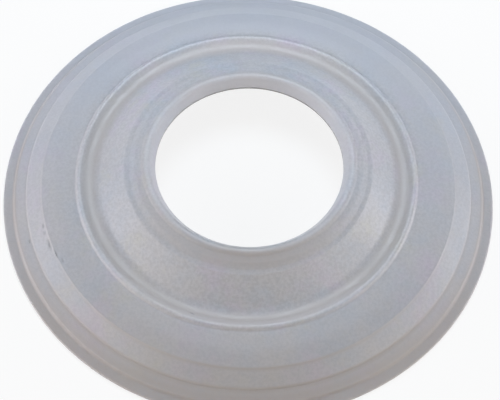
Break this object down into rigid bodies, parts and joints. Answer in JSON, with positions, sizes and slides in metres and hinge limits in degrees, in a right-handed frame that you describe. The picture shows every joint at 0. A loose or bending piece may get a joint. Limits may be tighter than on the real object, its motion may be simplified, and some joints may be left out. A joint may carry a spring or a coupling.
{
  "type": "condensate drain gasket",
  "caption": "Round hat-shaped silicone gasket with stepped sealing rings, a domed flange and a thin lip round its hole, to seal a condensate drain pipe.",
  "frame": {"origin": "on the axis of the hole, level with the flat underside of the outer rim", "axes": "+Z along the axis of the hole, from the rim up to the raised crown"},
  "size_m": [0.064, 0.064, 0.0078],
  "materials": {
    "silicone": "milky translucent, satin"
  },
  "bodies": {
    "root": {"gasket": "silicone"}
  },
  "joints": []
}
